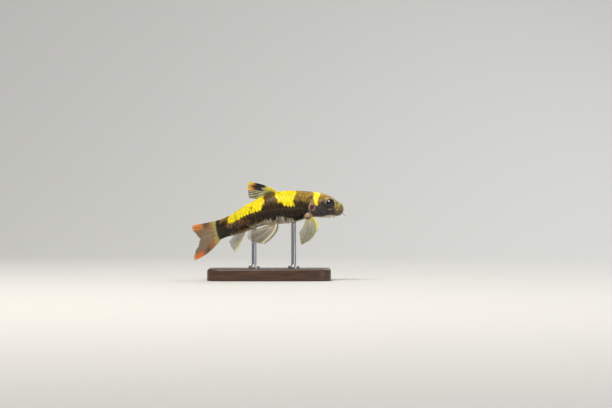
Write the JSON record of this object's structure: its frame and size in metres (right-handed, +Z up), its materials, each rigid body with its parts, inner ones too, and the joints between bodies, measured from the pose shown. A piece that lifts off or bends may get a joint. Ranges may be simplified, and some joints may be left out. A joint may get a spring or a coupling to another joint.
{
  "type": "panda garra fish model",
  "caption": "Life-size still model of a small banded bottom-living river fish, head level and tail swung aside, held up by a flat display base and two short rods.",
  "frame": {"origin": "middle of the display base's flat underside, which rests on the floor", "axes": "+Z up, +X towards the fish's head, and its right side faces -Y. Its tail droops and swings towards +Y"},
  "size_m": [0.0657, 0.0364, 0.0418],
  "materials": {
    "skin_body": "wet scaled skin in dark brown, olive and lemon-yellow bands",
    "skin_head": "wet smooth skin, olive-gold above and dark grey on the cheeks",
    "fin_web": "thin clear web with pale yellow rays and brown marks",
    "fin_tail": "thin brown and orange web with fine rays",
    "eyeball": "glossy, dark pupil in a pale gold ring",
    "barbel": "pale, smooth and wet",
    "stand_wood": "dark stained, satin varnish",
    "stand_steel": "plain turned rod"
  },
  "bodies": {
    "root": {"head": "skin_head", "torso": "skin_body", "tail": "skin_body", "dorsal_fin": "fin_web", "anal_fin": "fin_web", "caudal_fin_upper": "fin_tail", "caudal_fin_lower": "fin_tail", "pectoral_fin_left": "fin_web", "pectoral_fin_right": "fin_web", "pelvic_fin_left": "fin_web", "pelvic_fin_right": "fin_web", "eye_left": "eyeball", "eye_right": "eyeball", "barbel_rostral_left": "barbel", "barbel_rostral_right": "barbel", "barbel_maxillary_left": "barbel", "barbel_maxillary_right": "barbel", "stand_base": "stand_wood", "stand_rod_front": "stand_steel", "stand_rod_rear": "stand_steel"}
  },
  "joints": []
}
